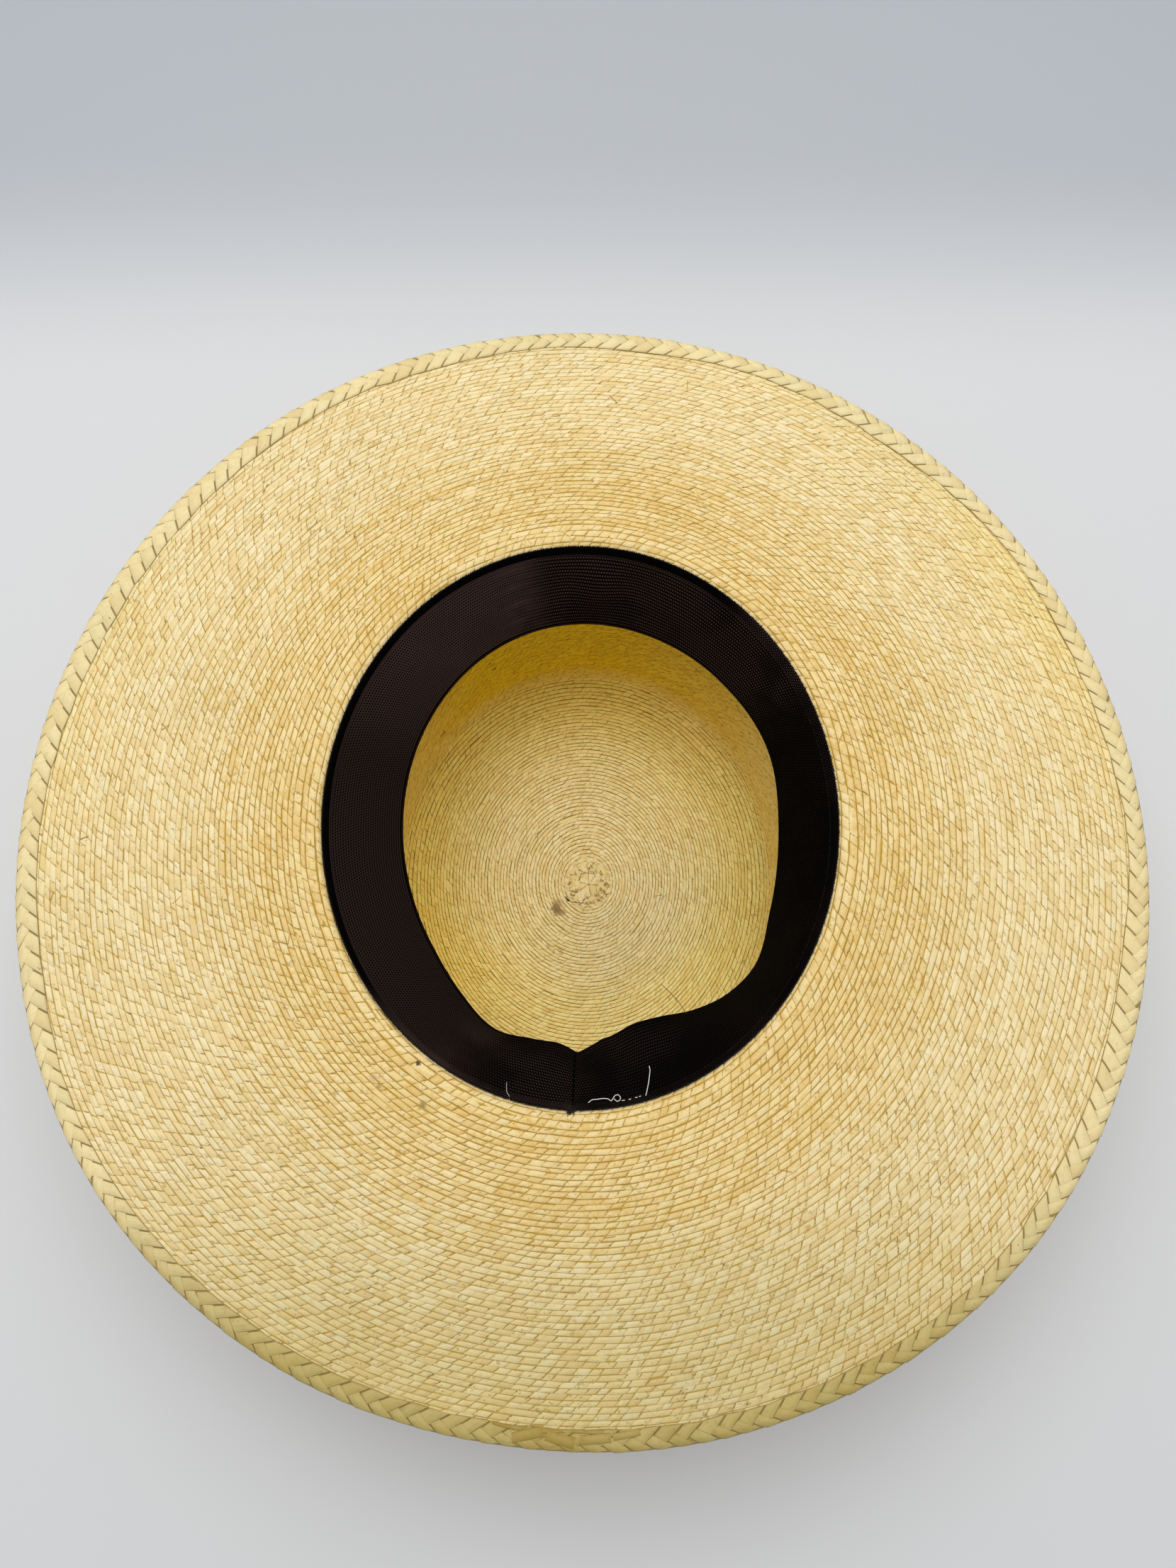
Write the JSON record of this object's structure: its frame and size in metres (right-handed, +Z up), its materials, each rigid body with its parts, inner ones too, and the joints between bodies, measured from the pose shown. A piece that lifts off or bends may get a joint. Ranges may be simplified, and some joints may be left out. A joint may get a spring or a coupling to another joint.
{
  "type": "cordobes hat",
  "caption": "Woven palm hat with a flat-topped crown, a wide flat brim with a plaited edge binding, and an elastic sweatband, lying upside down on its crown.",
  "frame": {"origin": "on the surface that the crown's tip rests on, below the middle of the brim", "axes": "+Z up out of the head opening, from the crown's tip to the brim; +Y towards the hat's front, away from the sweatband's seam; +X to the right seen from above with the front away"},
  "size_m": [0.3813, 0.3812, 0.1169],
  "materials": {
    "palm_weave": "matt woven palm strands in close spiral rows",
    "palm_plait": "flat plaited palm, smoother and a little glossy",
    "elastic": "matt knitted elastic, almost black",
    "thread": "loose ends of sewing thread"
  },
  "bodies": {
    "root": {"crown": "palm_weave", "brim": "palm_weave", "edge_braid": "palm_plait", "sweatband": "elastic"}
  },
  "joints": []
}
